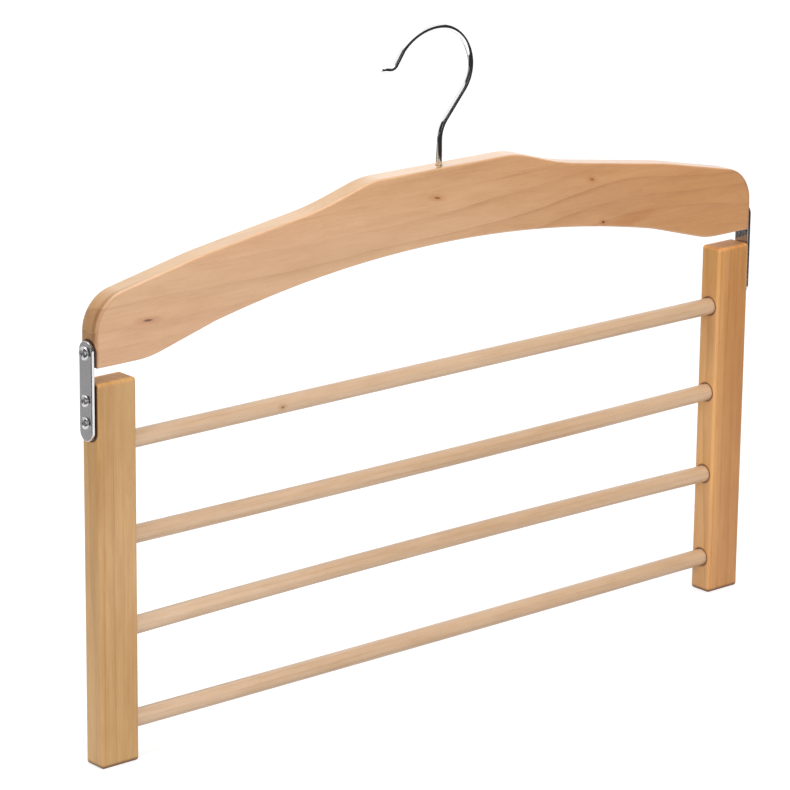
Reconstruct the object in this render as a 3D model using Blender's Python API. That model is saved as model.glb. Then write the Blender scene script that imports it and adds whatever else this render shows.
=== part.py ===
"""A multi tier trouser hanger of beech and plated steel, in metres, with Z up and X along the beam.

An arched beam hangs on a wire hook and turns round the hook's shank. A steel strap on each end of the beam
carries a ladder of round rods between two uprights, and the ladder swings on the straps' upper screws. The
origin is where a rail carries the hook: over the shank, at the height of the bend's inner side.
"""

import math

import bmesh
import bpy
from mathutils import Matrix, Vector

# Fits
SEAT_GAP = 0.0002  # between pieces that lie face to face
BORE_GAP = 0.0003  # all round a rod, a shank or a wire in its hole
CUT_OVERRUN = 0.002  # how far a cutter passes the face that it opens

# Ladder: rods between two uprights
ROD_SPAN = 0.400  # between the uprights' inner sides
ROD_DIAMETER = 0.0093
ROD_CHAMFER = 0.0006
ROD_PLACE_SHARES = (0.8315, 0.584, 0.3455, 0.0995)  # each rod's height, in upright lengths above the foot
SOCKET_DEPTH = 0.012
UPRIGHT_WIDTH = 0.023
UPRIGHT_THICKNESS = 0.014
UPRIGHT_LENGTH = 0.200
UPRIGHT_ROUND = 0.0012

# Beam: hardly longer than the ladder is wide, with flat pads under its ends and an arch between them
BEAM_END_PROUD = 0.0005  # each end of the beam past the upright below it
BEAM_LENGTH = ROD_SPAN + 2 * (UPRIGHT_WIDTH + BEAM_END_PROUD)
BEAM_THICKNESS = 0.012
BEAM_HEIGHT = 0.0677  # from the pads to the crest
BEAM_ROUND = 0.0010
PAD_LENGTH = 0.0325
PAD_CORNER_ROUND = 0.0016
ARCH_RISE = 0.0277
ARCH_RADIUS = 0.704
ARCH_REACH = 0.150  # from the middle to where the arch goes over into straight legs
LEG_FOOT_ROUND = 0.030  # where the legs run out into the pads
# Corners of the upper edge, end to crest: half lengths along, beam heights up, rounding in beam lengths
UPPER_EDGE_SHARES = (
    (1.0, 0.487, 0.0455),
    (0.711, 0.687, 0.67),
    (0.3685, 0.856, 0.40),
    (0.2195, 1.0, 0.056),
)

# Hook: a wire with a straight shank, a swan neck, a round bend and a curled tip
WIRE_DIAMETER = 0.0033
SHANK_RISE = 0.0134  # straight shank above the crest
# The wire's run above the shank: bend radius or straight length, and the angle turned, positive to the left
HOOK_RUN = (
    (0.0162, -40.5),
    (0.0185, 0),
    (0.0196, 55.0),
    (0.0223, 69.0),
    (0.0324, 48.0),
    (0.0083, 14.0),
    (0.0080, 0),
    (0.0049, -66.5),
    (0.0024, 0),
)
WIRE_END_CHAMFER = 0.0005

# Swivel: the beam rests on a washer and a nut on the shank's end, in a counterbore under the crest
COUNTERBORE_DIAMETER = 0.008
COUNTERBORE_DEPTH = 0.016
WASHER_DIAMETER = 0.007
WASHER_THICKNESS = 0.001
NUT_WIDTH = 0.0055  # across the flats
NUT_HEIGHT = 0.0024
NUT_CHAMFER = 0.0003
THREAD_PROUD = 0.001  # shank past the nut

# Straps and their screws
STRAP_WIDTH = 0.010
STRAP_THICKNESS = 0.002
STRAP_ROUND = 0.0004
STRAP_MARGIN = 0.006  # from the pivot up to the strap's end
PIVOT_HEIGHT = 0.0073  # above the pads
LADDER_GAP = 0.0076  # between the pads and the uprights
FIRST_SCREW_DROP = 0.0091  # below the uprights' tops
SCREW_PITCH = 0.0112
STRAP_TAIL = 0.0095  # from the lower screw down to the strap's end
PIVOT_SCREW = {"head": 0.0070, "height": 0.0022, "shank": 0.0035, "length": 0.020}
STRAP_SCREW = {"head": 0.0062, "height": 0.0019, "shank": 0.0030, "length": 0.016}
SCREW_RIM_SHARE = 0.25  # straight rim, of the head's height
SCREW_POINT_SHARE = 0.2  # point, of the shank's length
RECESS_LENGTH_SHARE = 0.60  # across the cross, of the head's diameter
RECESS_WIDTH_SHARE = 0.15
RECESS_DEPTH_SHARE = 0.65  # of the head's height

# Mesh
ARC_STEP = math.radians(7)
ARCH_STEP = math.radians(1.2)
HOOK_STEP = math.radians(9)
ROD_SIDES = 28
BORE_SIDES = 28
WIRE_SIDES = 14
SCREW_SIDES = 20
DOME_STEPS = 4
ROUND_STEPS = 3
SHARP_ANGLE = math.radians(38)
MERGE_DISTANCE = 1e-6


def clear_scene():
    for obj in list(bpy.data.objects):
        bpy.data.objects.remove(obj, do_unlink=True)


def principled(name, colour, roughness, metallic):
    material = bpy.data.materials.new(name)
    material.use_nodes = True
    shader = material.node_tree.nodes["Principled BSDF"]
    shader.inputs["Base Color"].default_value = (*colour, 1)
    shader.inputs["Roughness"].default_value = roughness
    shader.inputs["Metallic"].default_value = metallic
    return material


def mesh_of(name, bm):
    """A smooth-shaded mesh with its doubles merged and its faces turned outwards."""
    bmesh.ops.remove_doubles(bm, verts=bm.verts, dist=MERGE_DISTANCE)
    bmesh.ops.recalc_face_normals(bm, faces=bm.faces)
    mesh = bpy.data.meshes.new(name)
    bm.to_mesh(mesh)
    bm.free()
    mesh.shade_smooth()
    mesh.set_sharp_from_angle(angle=SHARP_ANGLE)
    return mesh


def put(name, mesh, material, parent, place, turn=(0, 0, 0)):
    """Adds an object at a place in the world, under a parent empty that is itself unturned."""
    obj = bpy.data.objects.new(name, mesh)
    bpy.context.scene.collection.objects.link(obj)
    if material and not mesh.materials:
        mesh.materials.append(material)
    obj.parent = parent
    obj.location = Vector(place) - (world_place(parent) if parent else Vector())
    obj.rotation_euler = turn
    return obj


def world_place(obj):
    place = Vector()
    while obj:
        place += obj.location
        obj = obj.parent
    return place


def joint_empty(name, parent, place):
    empty = bpy.data.objects.new(name, None)
    bpy.context.scene.collection.objects.link(empty)
    empty.parent = parent
    empty.location = Vector(place) - (world_place(parent) if parent else Vector())
    return empty


def rounded(corners):
    """A closed outline through (x, z, radius) corners, with an arc at each that has a radius."""
    outline = []
    neighbours = zip(corners[-1:] + corners[:-1], corners, corners[1:] + corners[:1])
    for before, corner, after in neighbours:
        here = Vector(corner[:2])
        back, on = Vector(before[:2]) - here, Vector(after[:2]) - here
        opening = back.angle(on)
        reach = min(corner[2] / math.tan(opening / 2), back.length / 2, on.length / 2)
        radius = reach * math.tan(opening / 2)
        back.normalize()
        on.normalize()
        centre = here + (back + on).normalized() * radius / math.sin(opening / 2)
        sweep = math.copysign(math.pi - opening, on.cross(back))
        steps = max(ROUND_STEPS, math.ceil(abs(sweep) / ARC_STEP)) if radius else 0
        spoke = here + back * reach - centre
        for step in range(steps + 1):
            point = centre + Matrix.Rotation(sweep * step / max(steps, 1), 2) @ spoke
            if not outline or (point - outline[-1]).length > MERGE_DISTANCE:
                outline.append(point)
    return outline


def prism(name, outline, thickness):
    """A mesh with this outline in its X-Z plane and this thickness along Y, centred on the plane."""
    bm = bmesh.new()
    face = bm.faces.new([bm.verts.new((p[0], -thickness / 2, p[1])) for p in outline])
    grown = bmesh.ops.extrude_face_region(bm, geom=[face])["geom"]
    moved = [v for v in grown if isinstance(v, bmesh.types.BMVert)]
    bmesh.ops.translate(bm, verts=moved, vec=(0, thickness, 0))
    return mesh_of(name, bm)


def turned(name, profile, sides, closed=False):
    """A mesh turned round Z from (radius, height) points, ordered down the outer side."""
    bm = bmesh.new()
    points = [bm.verts.new((radius, 0, height)) for radius, height in profile]
    ends = points[1:] + points[:1] if closed else points[1:]
    edges = [bm.edges.new(pair) for pair in zip(points, ends)]
    bmesh.ops.spin(
        bm, geom=points + edges, cent=(0, 0, 0), axis=(0, 0, 1), angle=math.tau, steps=sides, use_merge=True
    )
    return mesh_of(name, bm)


def soften(obj, width):
    """Rounds the object's sharp edges."""
    bevel = obj.modifiers.new("rounding", "BEVEL")
    bevel.width = width
    bevel.segments = ROUND_STEPS
    bevel.limit_method = "ANGLE"
    bevel.angle_limit = SHARP_ANGLE


def cut(obj, name, mesh, place, turn=(0, 0, 0), operation="DIFFERENCE"):
    """Cuts the object with a helper at a place in the world."""
    cutter = put(name, mesh, None, obj.parent, place, turn)
    cutter.hide_render = True
    cutter.display_type = "WIRE"
    boolean = obj.modifiers.new(name, "BOOLEAN")
    boolean.object = cutter
    boolean.operation = operation


def round_bar(name, diameter, length, chamfer=0.0):
    """A round bar along Z, centred, with chamfered ends."""
    radius, half = diameter / 2, length / 2
    side = [(radius, half - chamfer), (radius, chamfer - half)]
    if chamfer:
        side = [(radius - chamfer, half), *side, (radius - chamfer, -half)]
    return turned(name, [(0, half), *side, (0, -half)], ROD_SIDES)


def hook_run(start, crest):
    """Stations (place, heading) along the wire's centre line, from the shank's lower end to the tip."""
    place, heading = Vector((0, start)), math.pi / 2
    stations = [(place.copy(), heading)]
    for size, degrees in ((crest + SHANK_RISE - start, 0), *HOOK_RUN):
        turn = math.radians(degrees)
        steps = max(1, math.ceil(abs(turn) / HOOK_STEP))
        stride = 2 * size * math.sin(abs(turn) / steps / 2) if turn else size
        for _ in range(steps):
            heading += turn / steps / 2
            place += stride * Vector((math.cos(heading), math.sin(heading)))
            heading += turn / steps / 2
            stations.append((place.copy(), heading))
    return stations


def wire(name, stations):
    """A round wire along planar stations, with a chamfer at its start and a dome at its end."""
    radius = WIRE_DIAMETER / 2
    first, last = stations[0], stations[-1]
    rings = [(first[0], first[1], radius - WIRE_END_CHAMFER)]
    rings.append((first[0] + ahead(first[1], WIRE_END_CHAMFER), first[1], radius))
    rings += [(place, heading, radius) for place, heading in stations[1:]]
    for step in range(1, DOME_STEPS):
        t = math.pi / 2 * step / DOME_STEPS
        rings.append((last[0] + ahead(last[1], radius * math.sin(t)), last[1], radius * math.cos(t)))
    bm = bmesh.new()
    loops = []
    for place, heading, size in rings:
        across = ahead(heading + math.pi / 2, size)
        loop = []
        for side in range(WIRE_SIDES):
            angle = math.tau * side / WIRE_SIDES
            flat = place + across * math.cos(angle)
            loop.append(bm.verts.new((flat.x, size * math.sin(angle), flat.y)))
        loops.append(loop)
    for near, far in zip(loops, loops[1:]):
        for side in range(WIRE_SIDES):
            nxt = (side + 1) % WIRE_SIDES
            bm.faces.new((near[side], near[nxt], far[nxt], far[side]))
    tip = last[0] + ahead(last[1], radius)
    for loop, centre in ((loops[0], first[0]), (loops[-1], tip)):
        pole = bm.verts.new((centre.x, 0, centre.y))
        for side in range(WIRE_SIDES):
            bm.faces.new((loop[side], loop[(side + 1) % WIRE_SIDES], pole))
    return mesh_of(name, bm)


def ahead(heading, length):
    return length * Vector((math.cos(heading), math.sin(heading)))


def screw(name, size, material):
    """A domed cross-recess screw along Z, its head's underside at zero and its point below."""
    radius, height, shank = size["head"] / 2, size["height"], size["shank"] / 2
    rim = height * SCREW_RIM_SHARE
    dome = []
    for step in range(DOME_STEPS + 1):
        t = math.pi / 2 * step / DOME_STEPS
        dome.append((radius * math.sin(t), rim + (height - rim) * math.cos(t)))
    shoulder = size["length"] * (1 - SCREW_POINT_SHARE)
    profile = [*dome, (radius, 0), (shank, 0), (shank, -shoulder), (0, -size["length"])]
    blank = put(name, turned(name, profile, SCREW_SIDES), material, None, (0, 0, 0))
    arm, half = size["head"] * RECESS_LENGTH_SHARE / 2, size["head"] * RECESS_WIDTH_SHARE / 2
    cross = []
    for quarter in range(4):
        spin = Matrix.Rotation(math.pi / 2 * quarter, 2)
        cross += [spin @ Vector(p) for p in ((arm, -half), (arm, half), (half, half))]
    depth = height * RECESS_DEPTH_SHARE + CUT_OVERRUN
    recess = prism(name + "_recess", cross, depth)
    cut(blank, name + "_recess", recess, (0, 0, height + CUT_OVERRUN - depth / 2), (math.pi / 2, 0, 0))
    graph = bpy.context.evaluated_depsgraph_get()
    mesh = bpy.data.meshes.new_from_object(blank.evaluated_get(graph))
    mesh.shade_smooth()
    mesh.set_sharp_from_angle(angle=SHARP_ANGLE)
    bpy.data.objects.remove(bpy.data.objects[name + "_recess"])
    bpy.data.objects.remove(blank)
    return mesh


def beam_outline():
    """The beam's outline above its pads, anticlockwise from the right pad's inner end."""
    half_length = BEAM_LENGTH / 2
    right = [(half_length - PAD_LENGTH, 0, LEG_FOOT_ROUND), (half_length, 0, PAD_CORNER_ROUND)]
    for along, up, rounding in UPPER_EDGE_SHARES:
        right.append((along * half_length, up * BEAM_HEIGHT, rounding * BEAM_LENGTH))
    left = [(-x, z, rounding) for x, z, rounding in reversed(right)]
    sweep = math.asin(ARCH_REACH / ARCH_RADIUS)
    steps = math.ceil(2 * sweep / ARCH_STEP)
    arch = []
    for step in range(steps + 1):
        angle = sweep * (2 * step / steps - 1)
        sag = ARCH_RADIUS * (1 - math.cos(angle))
        arch.append((ARCH_RADIUS * math.sin(angle), ARCH_RISE - sag, 0))
    return rounded(right + left + arch)


clear_scene()
beech = principled("beech", (0.63, 0.37, 0.21), 0.5, 0.0)
beech_bar = principled("beech_bar", (0.56, 0.33, 0.15), 0.5, 0.0)
beech_rod = principled("beech_rod", (0.68, 0.46, 0.29), 0.55, 0.0)
chrome = principled("chrome", (0.80, 0.80, 0.81), 0.08, 1.0)
plated_steel = principled("plated_steel", (0.62, 0.61, 0.62), 0.2, 1.0)

# Heights, first above the pads and then in the world, where the hook's inner side is at zero
shoulder_height = ARCH_RISE + COUNTERBORE_DEPTH
washer_height = shoulder_height - SEAT_GAP - WASHER_THICKNESS
nut_height = washer_height - SEAT_GAP - NUT_HEIGHT
stations = hook_run(nut_height - THREAD_PROUD, BEAM_HEIGHT)
pad_z = WIRE_DIAMETER / 2 - max(place.y for place, _ in stations)
pivot_z = pad_z + PIVOT_HEIGHT
upright_top_z = pad_z - LADDER_GAP
foot_z = upright_top_z - UPRIGHT_LENGTH

hanging_point = joint_empty("hanging_point", None, (0, 0, 0))
beam_swivel = joint_empty("beam_swivel", hanging_point, (0, 0, pad_z + BEAM_HEIGHT))
ladder_hinge = joint_empty("ladder_hinge", beam_swivel, (0, 0, pivot_z))

# Hook with its washer and nut
hook = put("hook", wire("hook", stations), chrome, hanging_point, (0, 0, pad_z))
inner = WIRE_DIAMETER / 2 + BORE_GAP
ring = [
    (inner, WASHER_THICKNESS),
    (WASHER_DIAMETER / 2, WASHER_THICKNESS),
    (WASHER_DIAMETER / 2, 0),
    (inner, 0),
]
washer = turned("hook_washer", ring, BORE_SIDES, closed=True)
put("hook_washer", washer, plated_steel, hanging_point, (0, 0, pad_z + washer_height))
hexagon = [ahead(math.pi / 3 * side, NUT_WIDTH / math.sqrt(3)) for side in range(6)]
nut_middle = (0, 0, pad_z + nut_height + NUT_HEIGHT / 2)
nut_mesh = prism("hook_nut", hexagon, NUT_HEIGHT)
nut = put("hook_nut", nut_mesh, plated_steel, hanging_point, nut_middle, (math.pi / 2, 0, 0))
crown = round_bar("nut_crown", 2 * NUT_WIDTH / math.sqrt(3), NUT_HEIGHT, NUT_CHAMFER)
cut(nut, "nut_crown", crown, nut_middle, operation="INTERSECT")
cut(nut, "nut_bore", round_bar("nut_bore", 2 * inner, NUT_HEIGHT + 2 * CUT_OVERRUN), nut_middle)

# Beam, with the hook's bore and counterbore and a pilot hole in each end
beam = put("beam", prism("beam", beam_outline(), BEAM_THICKNESS), beech, beam_swivel, (0, 0, pad_z))
soften(beam, BEAM_ROUND)
stepped = [
    (0, BEAM_HEIGHT + CUT_OVERRUN),
    (inner, BEAM_HEIGHT + CUT_OVERRUN),
    (inner, shoulder_height),
    (COUNTERBORE_DIAMETER / 2, shoulder_height),
    (COUNTERBORE_DIAMETER / 2, ARCH_RISE - CUT_OVERRUN),
    (0, ARCH_RISE - CUT_OVERRUN),
]
cut(beam, "hook_bore", turned("hook_bore", stepped, BORE_SIDES), (0, 0, pad_z))

# Uprights, straps and screws, left and right
head_seat_x = BEAM_LENGTH / 2 + SEAT_GAP + STRAP_THICKNESS + SEAT_GAP
strap_x = BEAM_LENGTH / 2 + SEAT_GAP + STRAP_THICKNESS / 2
upper_screw_z = upright_top_z - FIRST_SCREW_DROP
lower_screw_z = upper_screw_z - SCREW_PITCH
strap_top_z = pivot_z + STRAP_MARGIN
strap_foot_z = lower_screw_z - STRAP_TAIL
strap_half_z = (strap_top_z - strap_foot_z) / 2
strap_middle_z = strap_foot_z + strap_half_z
rod_heights = [foot_z + share * UPRIGHT_LENGTH for share in ROD_PLACE_SHARES]
pivot_mesh = screw("pivot_screw", PIVOT_SCREW, plated_steel)
screw_mesh = screw("strap_screw", STRAP_SCREW, plated_steel)
fixings = (
    ("pivot", pivot_z, PIVOT_SCREW),
    ("upper", upper_screw_z, STRAP_SCREW),
    ("lower", lower_screw_z, STRAP_SCREW),
)


def pilot(name, size):
    """A screw's pilot hole, along Z like the screw, from the head's seat down past the point."""
    return round_bar(name, size["shank"] + 2 * BORE_GAP, 2 * (size["length"] + BORE_GAP))


for side, sign in (("left", -1), ("right", 1)):
    outward = (0, sign * math.pi / 2, 0)
    bm = bmesh.new()
    bmesh.ops.create_cube(bm, size=1)
    bmesh.ops.scale(bm, verts=bm.verts, vec=(UPRIGHT_WIDTH, UPRIGHT_THICKNESS, UPRIGHT_LENGTH))
    middle = (sign * (ROD_SPAN + UPRIGHT_WIDTH) / 2, 0, foot_z + UPRIGHT_LENGTH / 2)
    upright = put("upright_" + side, mesh_of("upright", bm), beech_bar, ladder_hinge, middle)
    soften(upright, UPRIGHT_ROUND)
    for number, height in enumerate(rod_heights, start=1):
        name = f"socket_{side}_{number}"
        socket = round_bar(name, ROD_DIAMETER + 2 * BORE_GAP, 2 * SOCKET_DEPTH)
        cut(upright, name, socket, (sign * ROD_SPAN / 2, 0, height), outward)

    half = STRAP_WIDTH / 2
    corners = [(x, z, half) for x, z in ((half, -strap_half_z), (half, strap_half_z))]
    corners += [(-x, -z, half) for x, z, _ in corners]
    strap_mesh = prism("strap", rounded(corners), STRAP_THICKNESS)
    strap_place = (sign * strap_x, 0, strap_middle_z)
    strap = put("strap_" + side, strap_mesh, plated_steel, ladder_hinge, strap_place, (0, 0, math.pi / 2))
    soften(strap, STRAP_ROUND)
    for place, height, size in fixings:
        seat = (sign * head_seat_x, 0, height)
        wood = beam if place == "pivot" else upright
        for target in (strap, wood):
            name = f"pilot_{target.name}_{place}_{side}"
            cut(target, name, pilot(name, size), seat, outward)
        if place == "pivot":
            put("pivot_screw_" + side, pivot_mesh, plated_steel, beam_swivel, seat, outward)
        else:
            put(f"strap_screw_{side}_{place}", screw_mesh, plated_steel, ladder_hinge, seat, outward)

# Rods, glued in their sockets
rod_length = ROD_SPAN + 2 * (SOCKET_DEPTH - BORE_GAP)
rod_mesh = round_bar("rod", ROD_DIAMETER, rod_length, ROD_CHAMFER)
for number, height in enumerate(rod_heights, start=1):
    put(f"rod_{number}", rod_mesh, beech_rod, ladder_hinge, (0, 0, height), (0, math.pi / 2, 0))
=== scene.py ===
"""The finished look of a multi tier trouser hanger of beech and plated steel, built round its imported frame.

Lengths are metres, Z is up and X runs along the beam. The origin is where a rail carries the hook. Each
section makes one piece of the hanger, in the order in which it is put together. The studio comes last.
"""

import math

import bmesh
import bpy
from mathutils import Matrix, Vector


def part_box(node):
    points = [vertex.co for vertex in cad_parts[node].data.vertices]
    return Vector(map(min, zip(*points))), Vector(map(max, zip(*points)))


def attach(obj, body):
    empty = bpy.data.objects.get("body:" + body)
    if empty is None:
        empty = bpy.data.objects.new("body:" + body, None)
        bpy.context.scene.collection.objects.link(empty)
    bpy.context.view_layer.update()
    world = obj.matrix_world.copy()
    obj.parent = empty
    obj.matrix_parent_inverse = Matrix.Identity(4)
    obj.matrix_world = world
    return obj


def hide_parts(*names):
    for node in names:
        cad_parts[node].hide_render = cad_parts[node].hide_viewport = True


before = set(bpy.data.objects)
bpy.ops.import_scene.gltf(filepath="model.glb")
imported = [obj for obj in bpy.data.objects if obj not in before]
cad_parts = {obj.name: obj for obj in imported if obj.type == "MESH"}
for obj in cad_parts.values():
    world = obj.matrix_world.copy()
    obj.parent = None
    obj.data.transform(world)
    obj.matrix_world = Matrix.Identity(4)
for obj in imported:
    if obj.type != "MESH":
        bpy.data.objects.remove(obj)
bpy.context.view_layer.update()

# Hook
# One hard steel wire, chrome plated: a threaded foot for the nut, a straight shank, a swan neck, an open bend
# for the rail and a curled tip. It is drawn from a ring of points in the way that the wire is bent on a jig.
wire_radius = 0.00165
wire_sides = 28
shank_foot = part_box("hook")[0].z
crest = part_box("beam")[1].z
shank_above_crest = 0.0134
bends = (  # radius or straight length, and degrees turned to the left
    (0.0162, -40.5), (0.0185, 0), (0.0196, 55.0), (0.0223, 69.0), (0.0324, 48.0),
    (0.0083, 14.0), (0.0080, 0), (0.0049, -66.5), (0.0024, 0),
)
thread_pitch = 0.0005
thread_root_share = 0.86
thread_turns = 12
foot_chamfer = 0.0005
degrees_a_step = 4.0
tip_steps = 5
tip_flat_share = 0.08
quarter_turn = math.pi / 2
tiny = 1e-6  # closer together than this, two points are one


def pick(kind, test):
    """In edit mode, selects the vertices, edges or faces that pass the test, and nothing else."""
    mesh = bmesh.from_edit_mesh(bpy.context.object.data)
    bpy.ops.mesh.select_mode(type={"verts": "VERT", "edges": "EDGE", "faces": "FACE"}[kind])
    bpy.ops.mesh.select_all(action="DESELECT")
    for item in getattr(mesh, kind):
        if test(item):
            item.select_set(True)
    mesh.select_flush_mode()
    bmesh.update_edit_mesh(bpy.context.object.data)


def ring(radius, sides, place):
    """Starts a new piece as a ring of points round Z, left selected in edit mode."""
    bpy.ops.object.select_all(action="DESELECT")
    bpy.ops.mesh.primitive_circle_add(vertices=sides, radius=radius, location=place)
    bpy.ops.object.transform_apply(location=True)
    bpy.ops.object.mode_set(mode="EDIT")
    bpy.ops.mesh.select_all(action="SELECT")


def pull(way):
    """Pulls the selected ring on by a straight length."""
    bpy.ops.mesh.extrude_region_move(TRANSFORM_OT_translate={"value": tuple(way)})


def swell(share, centre):
    """Scales the selected ring about its centre."""
    bpy.ops.transform.resize(value=(share, share, share), center_override=tuple(centre))


def close_up(name, crease=35):
    """Caps what is open, turns every face outwards, and leaves a smooth piece at the origin."""
    bpy.ops.mesh.select_mode(type="VERT")
    bpy.ops.mesh.select_all(action="SELECT")
    bpy.ops.mesh.remove_doubles(threshold=tiny)
    bpy.ops.mesh.fill_holes(sides=0)
    bpy.ops.mesh.select_all(action="SELECT")
    bpy.ops.mesh.normals_make_consistent(inside=False)
    bpy.ops.object.mode_set(mode="OBJECT")
    bpy.ops.object.transform_apply(location=True, rotation=True, scale=True)
    bpy.ops.object.shade_smooth_by_angle(angle=math.radians(crease))
    piece = bpy.context.object
    piece.name = name
    return piece


def heading(angle):
    """The way that the wire runs at an angle above X."""
    return Vector((math.cos(angle), 0, math.sin(angle)))


ring(wire_radius * thread_root_share, wire_sides, (0, 0, shank_foot))
place = Vector((0, 0, shank_foot + foot_chamfer))
pull((0, 0, foot_chamfer))
swell(1 / thread_root_share, place)
for turn in range(2 * thread_turns):
    pull((0, 0, thread_pitch / 2))
    place.z += thread_pitch / 2
    swell(1 / thread_root_share if turn % 2 else thread_root_share, place)
straight = crest + shank_above_crest - place.z
pull((0, 0, straight))
place.z += straight
angle = quarter_turn
for size, degrees in bends:
    if degrees:
        side = math.copysign(1, degrees)
        turn = math.radians(degrees)
        centre = place + heading(angle + side * quarter_turn) * size
        steps = math.ceil(abs(degrees) / degrees_a_step)
        bpy.ops.mesh.spin(steps=steps, angle=abs(turn), center=centre, axis=(0, side, 0))
        angle += turn
        place = centre - heading(angle + side * quarter_turn) * size
    else:
        pull(heading(angle) * size)
        place += heading(angle) * size
size_here = 1.0
for step in range(1, tip_steps + 1):
    reach = math.sin(quarter_turn * step / tip_steps) - math.sin(quarter_turn * (step - 1) / tip_steps)
    size_next = max(math.cos(quarter_turn * step / tip_steps), tip_flat_share)
    pull(heading(angle) * reach * wire_radius)
    place += heading(angle) * reach * wire_radius
    swell(size_next / size_here, place)
    size_here = size_next
hook = close_up("hook_wire", crease=50)


class Field:
    """What a node puts out. Arithmetic on it adds Math nodes to the tree that it belongs to."""

    def __init__(self, tree, socket):
        self.tree, self.socket = tree, socket

    def maths(self, operation, *values):
        return self.tree.node("Math", {"operation": operation}, dict(enumerate((self, *values))))

    def __add__(self, other):
        return self.maths("ADD", other)

    def __sub__(self, other):
        return self.maths("SUBTRACT", other)

    def __rsub__(self, other):
        return self * -1.0 + other

    def __mul__(self, other):
        return self.maths("MULTIPLY", other)

    def __truediv__(self, other):
        return self.maths("DIVIDE", other)

    def __pow__(self, other):
        return self.maths("POWER", other)

    __radd__ = __add__
    __rmul__ = __mul__

    def above(self, low, high):
        """0 below low, 1 above high, and smooth between them."""
        ends = {"Value": self, "From Min": low, "From Max": high}
        return self.tree.node("MapRange", {"interpolation_type": "SMOOTHSTEP"}, ends)

    def blend(self, colour, other, kind="MIX"):
        """The first colour where this is 0, the other (or the two multiplied) where it is 1."""
        factor, first, second, result = 0, 6, 7, 2  # where a Mix node has its sockets for colours
        settings = {"data_type": "RGBA", "blend_type": kind}
        return self.tree.node("Mix", settings, {factor: self, first: colour, second: other}, result)


class Tree:
    """The node tree of a material or a world, with the one way in which a node is added."""

    def __init__(self, owner):
        owner.use_nodes = True
        self.nodes, self.links = owner.node_tree.nodes, owner.node_tree.links

    def set(self, node, sockets):
        """Gives a node's sockets their values or links."""
        for key, value in sockets.items():
            if isinstance(value, Field):
                self.links.new(value.socket, node.inputs[key])
            else:
                node.inputs[key].default_value = value

    def node(self, kind, settings=None, sockets=None, output=0):
        """Adds a node: its settings first, then the values or links of its sockets."""
        node = self.nodes.new("ShaderNode" + kind)
        for key, value in (settings or {}).items():
            if key == "stops":
                ramp = node.color_ramp.elements
                for stop, _ in value[1:-1]:
                    ramp.new(stop)
                for element, (stop, colour) in zip(ramp, value):
                    element.position, element.color = stop, (*colour, 1)
            else:
                setattr(node, key, value)
        self.set(node, sockets or {})
        return Field(self, node.outputs[output])


class Finish(Tree):
    """A finish: one material with its shader, whose patterns lie in the piece's own coordinates."""

    def __init__(self, name, **sockets):
        self.material = bpy.data.materials.new(name)
        super().__init__(self.material)
        self.shader = self.nodes["Principled BSDF"]
        self.set(self.shader, {key.replace("_", " "): value for key, value in sockets.items()})

    def place(self):
        return self.node("TexCoord", output="Object")

    def noise(self, scale, detail=2.0, shift=(0, 0, 0), roughness=0.5):
        """Noise whose scale along X, Y and Z is given in features a metre."""
        spot = self.node("Mapping", {}, {"Vector": self.place(), "Scale": scale, "Location": shift})
        look = {"Vector": spot, "Scale": 1.0, "Detail": detail, "Roughness": roughness}
        return self.node("TexNoise", {}, look)

    def bump(self, height, distance, strength=1.0):
        """Relief from a height that runs from 0 to 1, which stands for the distance in metres."""
        self.set(self.shader, {
            "Normal": self.node("Bump", {}, {"Height": height, "Distance": distance, "Strength": strength}),
        })


chrome = Finish("polished_chrome", Metallic=1.0)
haze = chrome.noise((260, 260, 260), detail=4)
chrome.set(chrome.shader, {
    "Roughness": 0.04 + 0.06 * haze,
    "Base Color": haze.blend((0.96, 0.96, 0.97, 1), (0.87, 0.87, 0.89, 1)),
})
chrome.bump(chrome.noise((900, 900, 900), detail=2), 0.000004, 0.3)


def dress(piece, finish, body, slot, *nodes):
    """Gives a piece its finish, the body it moves with and the solids that it stands for; the slot is not
    used.
    """
    piece.data.materials.clear()
    piece.data.materials.append(finish.material)
    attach(piece, body)
    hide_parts(*nodes)


dress(hook, chrome, "hook", "chrome", "hook")

# Swivel washer and nut
# A flat washer and a hexagon nut on the hook's thread, in the counterbore under the crest. The beam rests on
# the washer and turns round the shank. Both are nickel plated; the nut is chamfered and bored.
nickel = Finish("bright_nickel_plate", Metallic=1.0)
brushing = nickel.noise((900, 900, 90), detail=3)
clouds = nickel.noise((120, 120, 120), detail=3)
nickel.set(nickel.shader, {
    "Base Color": (brushing * 0.5 + clouds * 0.5).blend((0.56, 0.55, 0.56, 1), (0.68, 0.67, 0.68, 1)),
    "Roughness": 0.14 + 0.16 * brushing + 0.06 * clouds,
})
nickel.bump(brushing, 0.00002, 0.5)


def turned(name, profile, sides, base=0.0, crease=35):
    """A piece turned round Z from (radius, height above its base) points, drawn ring by ring."""
    (radius, height), *rest = profile
    ring(radius, sides, (0, 0, base + height))
    for radius_next, height_next in rest:
        pull((0, 0, height_next - height))
        swell(radius_next / radius, (0, 0, base + height_next))
        radius, height = radius_next, height_next
    return close_up(name, crease)


def carve(piece, cutter, operation="DIFFERENCE"):
    """Cuts the cutter out of the piece, or keeps only what both hold, and clears the cutter away."""
    bpy.ops.object.select_all(action="DESELECT")
    piece.select_set(True)
    bpy.context.view_layer.objects.active = piece
    bpy.ops.object.modifier_add(type="BOOLEAN")
    boolean = piece.modifiers[-1]
    boolean.object, boolean.operation, boolean.solver = cutter, operation, "EXACT"
    bpy.ops.object.modifier_apply(modifier=boolean.name)
    bpy.data.objects.remove(cutter)


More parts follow.
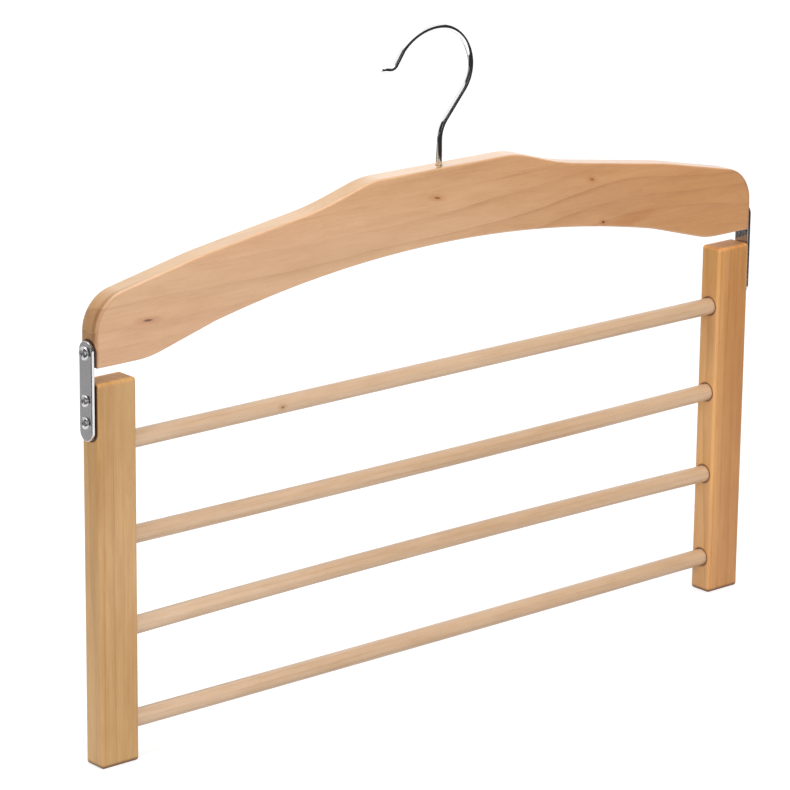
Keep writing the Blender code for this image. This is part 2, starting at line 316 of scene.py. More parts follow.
def true_up(piece, crease=35):
    """Smooth shading that leaves the flat faces flat."""
    bpy.ops.object.select_all(action="DESELECT")
    piece.select_set(True)
    bpy.context.view_layer.objects.active = piece
    bpy.ops.object.shade_smooth_by_angle(angle=math.radians(crease))
    bpy.ops.object.modifier_add(type="WEIGHTED_NORMAL")
    piece.modifiers[-1].keep_sharp = True
    bpy.ops.object.modifier_apply(modifier=piece.modifiers[-1].name)


washer_low, washer_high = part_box("hook_washer")
washer_thickness = washer_high.z - washer_low.z
washer_radius = washer_high.x
washer_edge = 0.00015
round_sides = 48
washer_profile = [
    (washer_radius - washer_edge, 0), (washer_radius, washer_edge),
    (washer_radius, washer_thickness - washer_edge), (washer_radius - washer_edge, washer_thickness),
]
washer = turned("swivel_washer", washer_profile, round_sides, washer_low.z)
bore_radius = 0.00195
bore_sides = 40
bore_overrun = 0.001  # how far each cutter passes the face that it opens
bore = [(bore_radius, -bore_overrun), (bore_radius, washer_thickness + bore_overrun)]
carve(washer, turned("bore", bore, bore_sides, washer_low.z))
true_up(washer)
dress(washer, nickel, "hook", "plated_steel", "hook_washer")

nut_low, nut_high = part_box("hook_nut")
nut_height = nut_high.z - nut_low.z
nut_chamfer = 0.0004
nut_sides = 6
corner_radius = nut_high.x
hexagon = [(corner_radius, 0), (corner_radius, nut_height)]
nut = turned("swivel_nut", hexagon, nut_sides, nut_low.z, crease=20)
nut.data.transform(Matrix.Rotation(math.pi / nut_sides, 4, "Z"))
crown = [
    (corner_radius - 2 * nut_chamfer, 0), (corner_radius, nut_chamfer),
    (corner_radius, nut_height - nut_chamfer), (corner_radius - 2 * nut_chamfer, nut_height),
]
carve(nut, turned("crown", crown, round_sides, nut_low.z), "INTERSECT")
bore = [(bore_radius, -bore_overrun), (bore_radius, nut_height + bore_overrun)]
carve(nut, turned("bore", bore, bore_sides, nut_low.z))
true_up(nut)
dress(nut, nickel, "hook", "plated_steel", "hook_nut")

# Beam
# One board of steamed beech, 12 mm thick: flat pads under its ends, an arch between them, sloping shoulders
# and a level crest. A block is sliced, the slices are set to the template, and the long edges are rounded.
beam_low, beam_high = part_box("beam")
half_length = beam_high.x
beam_height = beam_high.z - beam_low.z
edge_round = 0.0011
edge_steps = 6
pad_length = 0.0325
lines_start = 0.010  # from the beam's end, on the pad, to where the template's two lines start
arch_rise = 0.0277
arch_radius = 0.704
arch_reach = 0.150  # from the middle to where the arch goes over into straight legs
leg_foot_round = 0.055
arch_slices = 30
arc_step = math.radians(3)
same_slice = 1e-5  # slices closer together than this are one
sharp_corner = math.radians(60)
template = (  # from the pad's end up to the crest: half lengths along, beam heights up, rounding in metres
    (1.0, 0.0, 0.0016), (1.0, 0.487, 0.0203), (0.711, 0.687, 0.2995), (0.3685, 0.856, 0.1788),
    (0.2195, 1.0, 0.0500),
)


def rounded_line(corners):
    """Points along a line through (x, z, rounding) corners, with an arc at each corner between its ends."""
    line = [Vector(corners[0][:2])]
    for before, corner, after in zip(corners, corners[1:], corners[2:]):
        here = Vector(corner[:2])
        back, on = Vector(before[:2]) - here, Vector(after[:2]) - here
        opening = back.angle(on)
        reach = corner[2] / math.tan(opening / 2)
        centre = here + (back.normalized() + on.normalized()).normalized() * corner[2] / math.sin(opening / 2)
        spoke = here + back.normalized() * reach - centre
        sweep = math.copysign(math.pi - opening, on.cross(back))
        steps = max(4, math.ceil(abs(sweep) / arc_step))
        line += [centre + Matrix.Rotation(sweep * step / steps, 2) @ spoke for step in range(steps + 1)]
    return line + [Vector(corners[-1][:2])]


def height_on(line, along):
    """The height of a line where it passes a distance along X."""
    for near, far in zip(line, line[1:]):
        low, high = sorted((near.x, far.x))
        if low <= along <= high and high > low:
            return near.y + (far.y - near.y) * (along - near.x) / (far.x - near.x)
    return line[-1].y


arch = []
for slice_number in range(arch_slices, -1, -1):
    along = arch_reach * slice_number / arch_slices
    arch.append((along, math.sqrt(arch_radius**2 - along**2) - arch_radius + arch_rise))
corners = [(half_length * along, beam_height * up, rounding) for along, up, rounding in template]
lines_foot = (half_length - lines_start, 0, 0)
leg_foot = (half_length - pad_length, 0, leg_foot_round)
pad_corner_round, end_round = corners[0][2], corners[1][2]
upper_line = rounded_line([lines_foot, *corners, (0, beam_height, 0)])
under_line = rounded_line([lines_foot, leg_foot, (*arch[0], 0)])
pad_corner = [p for p in upper_line if p.y < pad_corner_round + tiny]
end_top = [p for p in upper_line if p.y >= pad_corner_round + tiny]
lower_line = pad_corner[::-1] + under_line[1:] + [Vector(p) for p in arch[1:]]
places = sorted({round(p.x, 6) for p in lower_line + end_top})
slices = [near for near, far in zip(places, places[1:]) if far - near > same_slice] + [half_length]
bpy.ops.object.select_all(action="DESELECT")
bpy.ops.mesh.primitive_cube_add(size=1, location=(0, 0, beam_low.z + beam_height / 2))
bpy.ops.transform.resize(value=(2 * half_length, beam_high.y - beam_low.y, beam_height))
bpy.ops.object.transform_apply(location=True, scale=True)
bpy.ops.object.mode_set(mode="EDIT")
for along in slices[:-1]:
    for side in (1, -1) if along > tiny else (1,):
        bpy.ops.mesh.select_all(action="SELECT")
        bpy.ops.mesh.bisect(plane_co=(side * along, 0, 0), plane_no=(1, 0, 0))
for along in slices:
    for is_top, line in ((True, end_top), (False, lower_line)):
        level = height_on(line, along) - (beam_height if is_top else 0)
        block_z = beam_high.z if is_top else beam_low.z
        pick("verts", lambda v: abs(abs(v.co.x) - along) < 2 * tiny and abs(v.co.z - block_z) < tiny)
        bpy.ops.transform.translate(value=(0, 0, level))
bpy.ops.mesh.select_all(action="SELECT")
bpy.ops.mesh.dissolve_limited(angle_limit=math.radians(0.05))
pick("edges", lambda e: len(e.link_faces) == 2 and e.calc_face_angle(0) > sharp_corner)
bpy.ops.mesh.bevel(offset=edge_round, segments=edge_steps, profile=0.5, clamp_overlap=False)
beam = close_up("beam_board", crease=30)
seat_gap = 0.0002
shoulder = washer_high.z + seat_gap
counterbore_radius = 0.004
hook_bore = [
    (counterbore_radius, beam_low.z), (counterbore_radius, shoulder),
    (bore_radius, shoulder + tiny), (bore_radius, beam_high.z + bore_overrun),
]
carve(beam, turned("bore", hook_bore, round_sides))
pivot_low, pivot_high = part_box("pivot_screw_left")
pivot_height = (pivot_low.z + pivot_high.z) / 2
pivot_hole_radius = 0.00205
pivot_hole_depth = 0.0178


def side_hole(piece, radius, mouth, depth, height, way, sides=bore_sides):
    """Drills a blind round hole into a piece along X, from just outside its mouth."""
    hole = turned("hole", [(radius, -bore_overrun), (radius, depth)], sides)
    hole.data.transform(Matrix.Translation((mouth, 0, height)) @ Matrix.Rotation(way * quarter_turn, 4, "Y"))
    carve(piece, hole)


for side in (-1, 1):
    side_hole(beam, pivot_hole_radius, side * half_length, pivot_hole_depth, pivot_height, -side)
true_up(beam, crease=30)

strap_low, strap_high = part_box("strap_left")
strap_half_width = strap_high.y
strap_inner_side = -strap_high.x
end_centre = (half_length - end_round, beam_low.z + end_top[0].y)  # of the arc at the beam's upper end
ring_tint = (0.66, 0.52, 0.40)
socket_shadow_tint = (0.3, 0.2, 0.14)
strap_shadow_tint = (0.14, 0.09, 0.06)
knot_halo_tint = (0.90, 0.80, 0.72)
knot_core_tint = (0.30, 0.18, 0.12)
knot_depth = 0.0015
end_grain_full = 0.0002  # how deep the end grain is at its full strength


def beech(
    name, along, pale, mean, deep, centre, half_run, end_reach, ring_gap, ring_strength, coat, end_tones,
    end_arc=None, ring_swell=None, ring_fade=None, washes=(), marks=(), sockets=None, shift=(0, 0, 0),
):
    """Beech with its grain along one axis: broad tone, growth rings, fibre streaks, short ray flecks, browner
    end grain, and knots. The grain is solid, so it runs round the edges. Painted shade darkens the wood close
    round the straps and the sockets, where a narrow gap would be. Tints are shares of the colour that they
    fall on."""
    wood = Finish(name, Specular_IOR_Level=0.45, Coat_Roughness=0.3)
    place = wood.place()
    x, y, z = (wood.node("SeparateXYZ", {}, {0: place}, axis) for axis in range(3))
    run, across = (x, z) if along == "X" else (z, x)

    def stretched(long, wide, **rest):
        return wood.noise((long, wide, wide) if along == "X" else (wide, wide, long), shift=shift, **rest)

    def tinted(colour, amount, tint):
        return amount.blend(colour, (*tint, 1), "MULTIPLY")

    def spot(at, reach, turn=0.0):
        """1 in the middle of an ellipsoid that is turned in the X-Z plane, and 0 at its surface."""
        centred = {"Vector": place, "Location": at, "Scale": reach, "Rotation": (0, math.radians(turn), 0)}
        away = wood.node("Mapping", {"vector_type": "TEXTURE"}, centred)
        return 1 - wood.node("VectorMath", {"operation": "LENGTH"}, {0: away}, "Value").above(0.3, 1.0)

    level = across - centre[1] + y * 0.35
    if ring_swell:
        swell_place, swell_width, swell_height = ring_swell
        away = (run - swell_place) / swell_width
        level = level - swell_height * (1 + away * away) ** -1.0
    wobble = 1.1 * (stretched(5, 28, detail=3) - 0.5) + 0.9 * (stretched(3, 70, detail=1) - 0.5)
    phase = level / ring_gap + wobble + 40
    late = phase.maths("FRACT")
    coarse = phase.maths("FLOOR") * 0.371
    faint = wood.node("TexWhiteNoise", {"noise_dimensions": "1D"}, {"W": coarse})
    patchy = 0.25 + 1.1 * stretched(14, 60, detail=3).above(0.35, 0.65)
    line = (late ** 9.0) * (0.3 + 0.7 * faint) * patchy + 0.4 * (late ** 2.5) * faint
    if ring_fade:
        faint_place, clear_place, faint_share = ring_fade
        line = line * (faint_share + (1 - faint_share) * run.above(faint_place, clear_place))
    broad = stretched(4, 32, detail=3, roughness=0.6)
    fibre = stretched(26, 1500, detail=3, roughness=0.65)
    fine = stretched(90, 3600, detail=2)
    mottle = stretched(45, 260, detail=3, roughness=0.6)
    tone = 0.5 + 1.0 * (broad - 0.5) + 0.42 * (fibre - 0.5) + 0.22 * (fine - 0.5) + 0.45 * (mottle - 0.5)
    colour = wood.node("ValToRGB", {"stops": ((0.2, deep), (0.5, mean), (0.8, pale))}, {0: tone})
    if end_arc:
        (arc_x, arc_z), arc_radius = end_arc
        out = (x.maths("ABSOLUTE") - arc_x).maths("MAXIMUM", 0.0)
        up = (z - arc_z).maths("MAXIMUM", 0.0)
        from_end = arc_radius - (out * out + up * up) ** 0.5
        end = (1 - from_end.above(end_grain_full, end_reach)) * (out / arc_radius).above(0.1, 0.95)
    else:
        end = 1 - (half_run - (run - centre[0]).maths("ABSOLUTE")).above(end_grain_full, end_reach)
    for axis, start, finish, tint in washes:
        colour = tinted(colour, {"X": x, "Y": y, "Z": z}[axis].above(start, finish), tint)
    colour = tinted(colour, line * (ring_strength - 0.6 * ring_strength * end), ring_tint)
    flecks = stretched(420, 2600, detail=1, roughness=0.4).above(0.64, 0.76)
    colour = tinted(colour, flecks * 0.25, ring_tint)
    for at, reach, turn, tint in marks:
        colour = tinted(colour, spot(at, reach, turn), tint)
    if sockets:
        # Painted shade: a dark ring on the inner side round each socket's mouth.
        heights, radius, inner_side = sockets
        for height in heights:
            far = (y ** 2.0 + (z - height) ** 2.0) / radius ** 2
            socket_shadow_band = 1 - x.maths("ABSOLUTE").above(inner_side + 0.0010, inner_side + 0.0025)
            colour = tinted(colour, (1 - far.above(1.1, 1.5)) * socket_shadow_band * 0.9, socket_shadow_tint)
    pores = wood.noise((2200, 2200, 2200), detail=2).above(0.45, 0.7)
    grain_pale, grain_deep = ((*tone_share, 1) for tone_share in end_tones)
    colour = end.blend(colour, (0.6 * pores + 0.4 * late).blend(grain_pale, grain_deep), "MULTIPLY")
    # Painted shadow: a thin dark line on the wood just outside each strap's edge, where the strap shades it.
    past_top = (z - strap_high.z + strap_half_width).maths("MAXIMUM", 0.0)
    past_foot = (strap_low.z + strap_half_width - z).maths("MAXIMUM", 0.0)
    from_strap = (y ** 2.0 + (past_top + past_foot) ** 2.0) ** 0.5 - strap_half_width
    strap_shadow_band = x.maths("ABSOLUTE").above(strap_inner_side - 0.0013, strap_inner_side - 0.0006)
    colour = tinted(colour, (1 - from_strap.above(0.0006, 0.0011)) * strap_shadow_band, strap_shadow_tint)
    wood.set(wood.shader, {
        "Base Color": colour,
        "Roughness": 0.40 + 0.12 * fibre + 0.14 * end,
        "Coat Weight": coat - 0.8 * coat * end,
    })
    wood.bump(0.6 * fibre + 0.25 * fine - 0.3 * line - 0.3 * flecks, 0.00006, 0.5)
    return wood


def knot(x, y, z, long, wide, turn=0.0, core=knot_core_tint):
    """A knot's reddish halo and its darker core, as two marks. A mark is a place, a reach along X, Y and Z, a
    turn in degrees and a tint."""
    return (
        ((x, y, z), (3.0 * long, knot_depth, 3.0 * wide), turn, knot_halo_tint),
        ((x, y, z), (long, knot_depth, wide), turn, core),
    )


beam_front = beam_low.y
beam_beech = beech(
    "beech_beam", "X", pale=(0.70, 0.445, 0.264), mean=(0.632, 0.375, 0.206), deep=(0.54, 0.296, 0.146),
    centre=(0, -0.0990), half_run=half_length, end_reach=0.0022, ring_gap=0.0105, ring_strength=0.46,
    coat=1.0, end_tones=((0.78, 0.72, 0.66), (0.50, 0.40, 0.32)), end_arc=(end_centre, end_round),
    ring_swell=(0.135, 0.060, 0.0125), ring_fade=(-0.13, 0.02, 0.55),
    washes=(
        # The first wash makes the beam darker and more orange towards its right end: partly the board's own
        # tone, partly painted shade where the light falls off.
        ("X", -0.06, 0.20, (0.91, 0.75, 0.555)), ("Z", -0.112, -0.074, (1.10, 1.09, 1.06)),
        # Painted shade: every face but the front is darker and yellower than the front face.
        ("Y", beam_front + 0.0004, beam_front + 0.0013, (0.88, 0.88, 0.74)),
    ),
    marks=(
        *knot(-0.192, beam_front, -0.1192, 0.0040, 0.0009, 3, (0.24, 0.12, 0.05)),
        *knot(-0.006, beam_front, -0.0861, 0.0030, 0.0009, 12, (0.46, 0.32, 0.20)),
        *knot(0.103, beam_front, -0.0924, 0.0022, 0.0009, 15, (0.55, 0.42, 0.28)),
        *knot(0.112, beam_front, -0.1171, 0.0016, 0.0009, 20),
        *knot(-0.2205, -0.0038, -0.1000, 0.0016, 0.0011), *knot(-0.2225, -0.0036, -0.1120, 0.0016, 0.0011),
        ((-0.215, -0.0036, -0.113), (0.045, 0.0018, 0.030), 0, (0.80, 0.70, 0.56)),
        ((0.133, beam_front, -0.1185), (0.030, 0.0020, 0.0050), -9, (0.93, 0.84, 0.74)),
        ((-0.120, beam_front, -0.0970), (0.065, 0.0020, 0.022), 0, (0.955, 0.92, 0.89)),
        ((-0.190, beam_front, -0.1250), (0.090, 0.0020, 0.032), 0, (0.96, 0.92, 0.88)),
    ),
)
dress(beam, beam_beech, "beam", "beech", "beam")

# Uprights
# Two square-cut bars of beech, a little more golden than the beam, with all edges rounded over. Each has four
# blind sockets for the rods in its inner side and two pilot holes for the strap's screws in its outer side.
bar_round = 0.0018
bar_steps = 6
socket_radius = 0.00495
socket_depth = 0.012
socket_sides = 56
pilot_radius = 0.0018
pilot_depth = 0.0138
pilot_sides = 32
rod_heights = [sum(corner.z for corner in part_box(f"rod_{number}")) / 2 for number in (1, 2, 3, 4)]
screw_heights = [
    sum(corner.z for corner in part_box(f"strap_screw_left_{which}")) / 2 for which in ("upper", "lower")
]
bar_front, bar_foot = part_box("upright_left")[0].yz
bar_inner_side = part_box("upright_right")[0].x
# Painted contact shadow: each foot is dark along its rounded lower edges and a middling brown on its flat
# end.
foot_shadow_tint = (0.24, 0.18, 0.13)
foot_end_share = 0.65
foot_shadow_washes = (  # dark along the foot's rounded edges, then back to a middling brown on its flat end
    ("Z", bar_foot + 0.0028, bar_foot + 0.0010, foot_shadow_tint),
    ("Z", bar_foot + 0.0003, bar_foot + 0.0001, tuple(foot_end_share / share for share in foot_shadow_tint)),
)
bar_looks = {
    -1: dict(
        pale=(0.635, 0.398, 0.177), mean=(0.553, 0.318, 0.121), deep=(0.46, 0.240, 0.078),
        shift=(1.3, 0, 4.1),
        # Painted shade: the front face is darker than the sides.
        washes=(*foot_shadow_washes, ("Y", bar_front + 0.0013, bar_front + 0.0004, (0.91, 0.89, 0.865))),
        marks=(
            ((-0.2115, bar_front, -0.243), (0.030, 0.004, 0.050), 0, (1.09, 1.14, 1.28)),
            ((-0.2115, bar_front, -0.165), (0.030, 0.004, 0.035), 0, (0.97, 0.96, 0.92)),
        ),
    ),
    1: dict(
        pale=(0.72, 0.418, 0.178), mean=(0.635, 0.330, 0.121), deep=(0.53, 0.250, 0.080),
        shift=(7.7, 0, 2.3),
        washes=(
            *foot_shadow_washes, ("X", bar_inner_side + 0.0003, bar_inner_side + 0.014, (0.81, 0.75, 0.65)),
            # Painted shade: the front face is darker than the sides.
            ("Y", bar_front + 0.0013, bar_front + 0.0004, (0.975, 0.91, 0.83)),
        ),
        marks=(
            ((bar_inner_side, 0, -0.258), (0.004, 0.030, 0.058), 0, (1.12, 1.16, 1.17)),
            ((bar_inner_side, 0, -0.150), (0.004, 0.030, 0.035), 0, (0.98, 0.95, 0.80)),
        ),
    ),
}
for side, which in ((-1, "left"), (1, "right")):
    low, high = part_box(f"upright_{which}")
    bpy.ops.object.select_all(action="DESELECT")
    bpy.ops.mesh.primitive_cube_add(size=1, location=(low + high) / 2)
    bpy.ops.transform.resize(value=high - low)
    bpy.ops.object.transform_apply(location=True, scale=True)
    bpy.ops.object.mode_set(mode="EDIT")
    bpy.ops.mesh.select_all(action="SELECT")
    bpy.ops.mesh.bevel(offset=bar_round, segments=bar_steps, profile=0.5)
    bar = close_up(f"{which}_upright_bar")
    inner, outer = (high.x, low.x) if side < 0 else (low.x, high.x)
    for height in rod_heights:
        side_hole(bar, socket_radius, inner, socket_depth, height, side, socket_sides)
    for height in screw_heights:
        side_hole(bar, pilot_radius, outer, pilot_depth, height, -side, pilot_sides)
    true_up(bar)
    bar_beech = beech(
        f"beech_{which}_bar", "Z", centre=((low.z + high.z) / 2, (low.x + high.x) / 2),
        half_run=(high.z - low.z) / 2, end_reach=0.0026, ring_gap=0.0058, ring_strength=0.36, coat=0.3,
        end_tones=((1.36, 1.29, 1.2), (1.05, 0.93, 0.8)),
        sockets=(rod_heights, socket_radius, bar_inner_side), **bar_looks[side],
    )
    dress(bar, bar_beech, "ladder", "beech_bar", f"upright_{which}")

# Rods
# Four round dowels of paler beech, sanded, glued into the uprights' sockets, with a chamfer on each end.
# They have dried a little bowed: rod_bow is how far each one's middle lies above the line of its sockets.
rod_sides = 64
rod_chamfer = 0.0006
rod_steps = 24
rod_bow = (0.0, -0.0009, 0.0017, -0.0004)
for number, (height, bow) in enumerate(zip(rod_heights, rod_bow), start=1):
    low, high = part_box(f"rod_{number}")
    radius, half = (high.z - low.z) / 2, high.x
    stations = [bar_inner_side * (2 * step / rod_steps - 1) for step in range(rod_steps + 1)]
    profile = [(radius - rod_chamfer, -half), (radius, rod_chamfer - half)]
    profile += [(radius, along) for along in stations]
    profile += [(radius, half - rod_chamfer), (radius - rod_chamfer, half)]
    rod = turned(f"rod_{number}_dowel", profile, rod_sides)
    rod.data.transform(Matrix.Translation((0, 0, height)) @ Matrix.Rotation(quarter_turn, 4, "Y"))
    bpy.ops.object.mode_set(mode="EDIT")
    for along in stations[1:-1]:
        pick("verts", lambda v: abs(v.co.x - along) < 10 * tiny)
        bpy.ops.transform.translate(value=(0, 0, bow * (1 - (along / bar_inner_side) ** 2)))
    bpy.ops.object.mode_set(mode="OBJECT")
    true_up(rod)
    top_knot = knot(-0.1065, -radius, height, 0.0016, 0.0010, core=(0.52, 0.40, 0.28))
    rod_beech = beech(
        f"beech_rod_{number}", "X",
        pale=(0.68, 0.493, 0.338), mean=(0.615, 0.423, 0.273), deep=(0.525, 0.335, 0.193),
        centre=(0, height), half_run=half, end_reach=0.0008, ring_gap=0.0034, ring_strength=0.36, coat=0.32,
        end_tones=((0.8, 0.7, 0.62), (0.52, 0.4, 0.32)),
        washes=(("X", -bar_inner_side, bar_inner_side, (0.97, 0.93, 0.88)),),
        marks=top_knot if number == 1 else (),
        shift=(1.9 * number, 0.7 * number, 2.3 * number),
    )
    dress(rod, rod_beech, "ladder", "beech_rod", f"rod_{number}")

# Straps
# Two stamped strips of nickel-plated steel with round ends and three punched holes, one on each end of the
# beam: the upper hole turns on the pivot screw, the two lower ones are screwed to the upright.
strap_edge = 0.0004
strap_edge_steps = 4
strap_sides = 64
strap_thickness = strap_high.x - strap_low.x
for side, which in ((-1, "left"), (1, "right")):
    low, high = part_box(f"strap_{which}")
    ring(strap_half_width, strap_sides, (0, 0, 0))
    bpy.ops.mesh.edge_face_add()
    bpy.ops.mesh.extrude_region_move(TRANSFORM_OT_translate={"value": (0, 0, strap_thickness)})
    straight_half = (high.z - low.z) / 2 - strap_half_width
    pick("verts", lambda v: v.co.x > tiny)
    bpy.ops.transform.translate(value=(straight_half, 0, 0))
    pick("verts", lambda v: v.co.x < -tiny)
    bpy.ops.transform.translate(value=(-straight_half, 0, 0))
    pick("edges", lambda e: len(e.link_faces) == 2 and e.calc_face_angle(0) > sharp_corner)
    bpy.ops.mesh.bevel(offset=strap_edge, segments=strap_edge_steps, profile=0.5)
    strap = close_up(f"{which}_strap_strip")
    stand_up = Matrix.Rotation(-quarter_turn, 4, "Y")
    strap.data.transform(Matrix.Translation((high.x, 0, (low.z + high.z) / 2)) @ stand_up)
    for height, radius in ((pivot_height, pivot_hole_radius), *((h, pilot_radius) for h in screw_heights)):
        side_hole(strap, radius, low.x, strap_thickness + bore_overrun, height, 1)
    true_up(strap)
    dress(strap, nickel, "ladder", "plated_steel", f"strap_{which}")

# Screws
# Round-head cross-recess wood screws, nickel plated: one pivot screw through each strap into the beam's end
# grain, and two smaller ones into each upright. The head is turned, the cross punched, the shank threaded.
screw_sides = 40
head_steps = 8
head_top_share = 0.02
rim_share = 0.25
recess_length_share = 0.52
recess_width_share = 0.13
recess_depth_share = 0.50
recess_foot_length_share = 0.45
recess_foot_width_share = 0.6
screw_thread_pitch = 0.0013
screw_root_share = 0.72
point_share = 0.2
point_tip_share = 0.05
plain_neck = 0.0032


def wood_screw(name, head_radius, head_height, shank_radius, length, spin):
    """A screw along Z with the underside of its head at zero and its point below."""
    rim = head_height * rim_share
    profile = [(shank_radius * point_tip_share, -length)]
    point_length = length * point_share
    height = -length + screw_thread_pitch / 2
    crest_next = True
    while height < -plain_neck:
        full = shank_radius * min(1.0, (height + length) / point_length)
        profile.append((full if crest_next else full * screw_root_share, height))
        crest_next = not crest_next
        height += screw_thread_pitch / 2
    profile += [(shank_radius, -plain_neck), (shank_radius, -tiny), (head_radius, 0)]
    for step in range(head_steps):
        t = quarter_turn * step / head_steps
        profile.append((head_radius * math.cos(t), rim + (head_height - rim) * math.sin(t)))
    profile.append((head_radius * head_top_share, head_height))
    screw = turned(name, profile, screw_sides, crease=40)
    arm = head_radius * recess_length_share
    for quarter in (0, 1):
        bpy.ops.object.select_all(action="DESELECT")
        depth = head_height * recess_depth_share
        bpy.ops.mesh.primitive_cube_add(size=1, location=(0, 0, head_height - depth / 2 + bore_overrun / 2))
        bpy.ops.transform.resize(value=(2 * arm, 2 * head_radius * recess_width_share, depth + bore_overrun))
        bpy.ops.object.transform_apply(location=True, scale=True)
        bpy.ops.object.mode_set(mode="EDIT")
        pick("faces", lambda f: f.normal.z < -0.5)
        foot = (0, 0, head_height - depth)
        foot_shares = (recess_foot_length_share, recess_foot_width_share, 1)
        bpy.ops.transform.resize(value=foot_shares, center_override=foot)
        blade = close_up("blade")
        blade.data.transform(Matrix.Rotation(quarter_turn * quarter + math.radians(spin), 4, "Z"))
        carve(screw, blade)
    return screw


def drive(screw, seat, side):
    """Turns a screw to lie along X with its head outwards, and sets its head on its seat."""
    screw.data.transform(Matrix.Translation(seat) @ Matrix.Rotation(side * quarter_turn, 4, "Y"))
    true_up(screw, crease=40)


pivot_sizes = (0.0022, 0.00175, 0.020)  # head height, shank radius and length
strap_screw_sizes = (0.0019, 0.0015, 0.016)
spins = {"pivot": (12, -31), "upper": (38, 5), "lower": (-22, 61)}  # degrees, left and right
for side, which in ((-1, "left"), (1, "right")):
    for hole, turns in spins.items():
        is_pivot = hole == "pivot"
        node = f"pivot_screw_{which}" if is_pivot else f"strap_screw_{which}_{hole}"
        low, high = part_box(node)
        head_height, shank_radius, length = pivot_sizes if is_pivot else strap_screw_sizes
        spin = turns[side > 0]
        screw = wood_screw(f"{which}_{hole}_screw", high.y, head_height, shank_radius, length, spin)
        seat_x = high.x - head_height if side > 0 else low.x + head_height
        drive(screw, (seat_x, 0, (low.z + high.z) / 2), side)
        dress(screw, nickel, "beam" if is_pivot else "ladder", "plated_steel", node)

# Studio
# The hanger stands on its feet on a white floor with nothing behind it. The camera is where the photograph's
# was. Three softboxes light it, and panels that only show in metal and lacquer shape the reflections.
camera_place = Vector((-1.3172, -1.5002, 0.3997))
camera_rows = (  # its right, its up and its back
    (0.76042, -0.64935, 0.01040),
    (0.17762, 0.22336, 0.95842),
    (-0.62467, -0.72695, 0.28518),
)
camera_data = bpy.data.cameras.new("photograph")
camera_data.sensor_width = 36
camera_data.lens = 181.57
camera_data.clip_start, camera_data.clip_end = 0.05, 50
camera = bpy.data.objects.new("photograph", camera_data)
bpy.context.scene.collection.objects.link(camera)
camera.matrix_world = Matrix.Translation(camera_place) @ Matrix(camera_rows).transposed().to_4x4()
bpy.context.scene.camera = camera


def softbox(name, place, aim, size, power):
    """A round lamp of some width and power, turned to its aim."""
    data = bpy.data.lights.new(name, "AREA")
    data.shape, data.size, data.energy = "DISK", size, power
    light = bpy.data.objects.new(name, data)
    bpy.context.scene.collection.objects.link(light)
    light.location = place
    light.rotation_mode = "QUATERNION"
    light.rotation_quaternion = (Vector(aim) - Vector(place)).to_track_quat("-Z", "Y")


hanger_middle = (0, 0, -0.2)
softbox("overhead_softbox", (-0.2, 0.1, 2.0), hanger_middle, 1.6, 27)
softbox("front_softbox", (-0.4, -2.8, 0.8), hanger_middle, 1.8, 50)
softbox("side_softbox", (-4.2, -0.9, 0.0), hanger_middle, 2.0, 96)


def show_only_reflected(panel, name, grey):
    """Makes a studio panel one flat grey that only shows as a reflection in metal and lacquer."""
    panel.name = name
    felt = Finish(name)
    even_grey = felt.node("Emission", {}, {"Color": (grey, grey, grey, 1)})
    felt.set(felt.nodes["Material Output"], {"Surface": even_grey})
    panel.data.materials.append(felt.material)
    panel.visible_camera = panel.visible_diffuse = panel.visible_shadow = panel.visible_transmission = False


# A dark curved flag on the camera's side of the hanger gives the wire its dark line. From its first end to
# some way past the camera it has a flat foot, which lies just above the floor.
flag_foot, flag_radius, flag_top = 0.45, 0.62, 0.50
flag_from, flag_foot_to, flag_to = 160, 280, 350  # degrees round Z
flag_sides = 72
flag_lift = 0.002
flag_base = Vector((0, 0, bar_foot + flag_lift))


def off_the_flag(face):
    """Whether a face of the whole round lies beyond the ends of the flag, or of its foot."""
    middle = face.calc_center_median()
    way_round = math.degrees(math.atan2(middle.y, middle.x)) % 360
    is_foot = middle.z < flag_base.z + flag_lift
    return not flag_from < way_round < (flag_foot_to if is_foot else flag_to)


ring(flag_foot, flag_sides, flag_base)
pull((0, 0, 0))
swell(flag_radius / flag_foot, flag_base)
pull((0, 0, flag_top - flag_base.z))
pick("faces", off_the_flag)
bpy.ops.mesh.delete(type="FACE")
bpy.ops.object.mode_set(mode="OBJECT")
show_only_reflected(bpy.context.object, "dark_flag", 0.03)


def card(name, low, high, grey):
    """A flat upright card between two corners."""
    (x0, y0, z0), (x1, y1, z1) = low, high
    bpy.ops.object.select_all(action="DESELECT")
    bpy.ops.mesh.primitive_plane_add(size=1, location=(0, 0, 0))
    bpy.ops.transform.resize(value=(math.hypot(x1 - x0, y1 - y0), z1 - z0, 1))
    bpy.ops.object.transform_apply(location=True, scale=True)
    panel = bpy.context.object
    upright = Matrix.Rotation(math.atan2(y1 - y0, x1 - x0), 4, "Z") @ Matrix.Rotation(quarter_turn, 4, "X")
    panel.data.transform(Matrix.Translation(((x0 + x1) / 2, (y0 + y1) / 2, (z0 + z1) / 2)) @ upright)
    show_only_reflected(panel, name, grey)


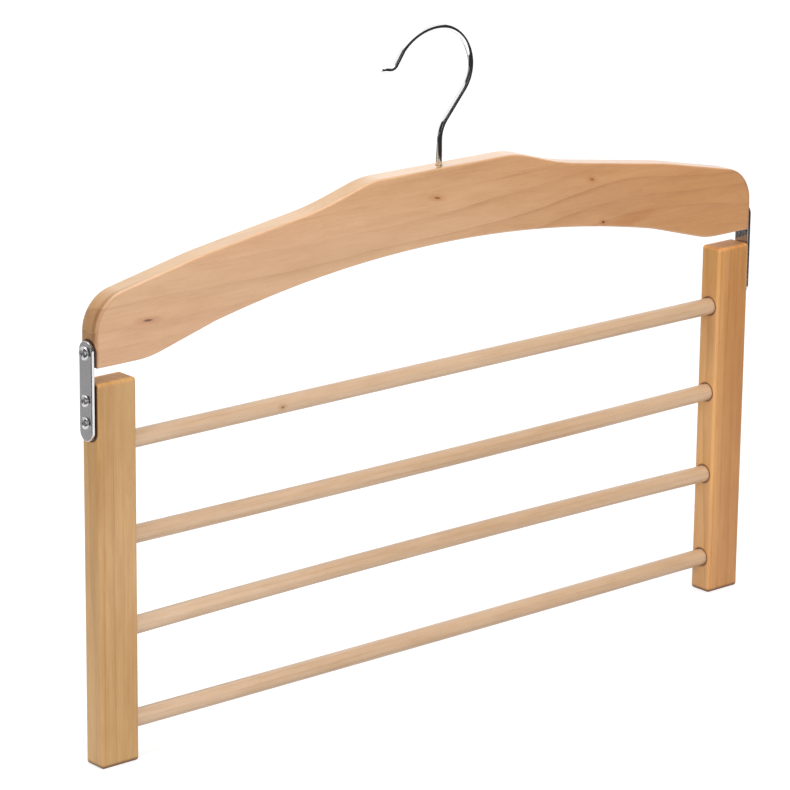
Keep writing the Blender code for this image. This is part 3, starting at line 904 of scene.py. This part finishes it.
# One card each for the left strap's face, its front rim, the right strap's inner face, and the beam's top
card("grey_card", (-0.85, 0.30, -0.345), (-0.28, 0.30, -0.085), 0.45)
card("rim_card", (-0.16, -0.19, -0.27), (0.04, -0.19, -0.165), 1.5)
card("dark_card", (-0.25, 0.30, -0.33), (0.10, 0.30, -0.15), 0.04)
card("crest_card", (0.55, 1.50, 0.04), (1.50, 0.75, 0.55), 1.72)


def seen_directly(tree):
    """1 for what the camera sees itself or in a gloss, 0 for the light that falls on the hanger."""
    camera_ray, gloss_ray, clear_ray = (
        tree.node("LightPath", output=f"Is {kind} Ray") for kind in ("Camera", "Glossy", "Transmission")
    )
    return camera_ray.maths("MAXIMUM", gloss_ray).maths("MAXIMUM", clear_ray)


world = bpy.data.worlds.new("white_studio")
bpy.context.scene.world = world
sky = Tree(world)
fill_light = 0.46
sky_strength = fill_light + (1 - fill_light) * seen_directly(sky)
sky.set(sky.nodes["Background"], {"Color": (1, 1, 1, 1), "Strength": sky_strength})

# The floor shows as shaded paper with a white glow added to it, which grows where the lamps fall off
floor_width = 12.0
bounce_grey, shade_grey, near_glow, far_glow = 0.42, 0.45, 0.69, 0.82
near, far = 0.7, 2.5
bpy.ops.object.select_all(action="DESELECT")
bpy.ops.mesh.primitive_plane_add(size=floor_width, location=(0, 0, bar_foot))
bpy.ops.object.transform_apply(location=True)
floor = bpy.context.object
floor.name = "studio_floor"
paper = Finish("white_paper")
bounce, shade = (
    paper.node("BsdfDiffuse", {}, {"Color": (grey, grey, grey, 1)}) for grey in (bounce_grey, shade_grey)
)
far_off = paper.node("VectorMath", {"operation": "LENGTH"}, {0: paper.place()}, "Value").above(near, far)
glow = far_off.blend((near_glow, near_glow, near_glow, 1), (far_glow, far_glow, far_glow, 1))
shown = paper.node("AddShader", {}, {0: shade, 1: paper.node("Emission", {}, {"Color": glow})})
surface = paper.node("MixShader", {}, {0: seen_directly(paper), 1: bounce, 2: shown})
paper.set(paper.nodes["Material Output"], {"Surface": surface})
floor.data.materials.append(paper.material)

bpy.context.scene.view_settings.view_transform = "Standard"
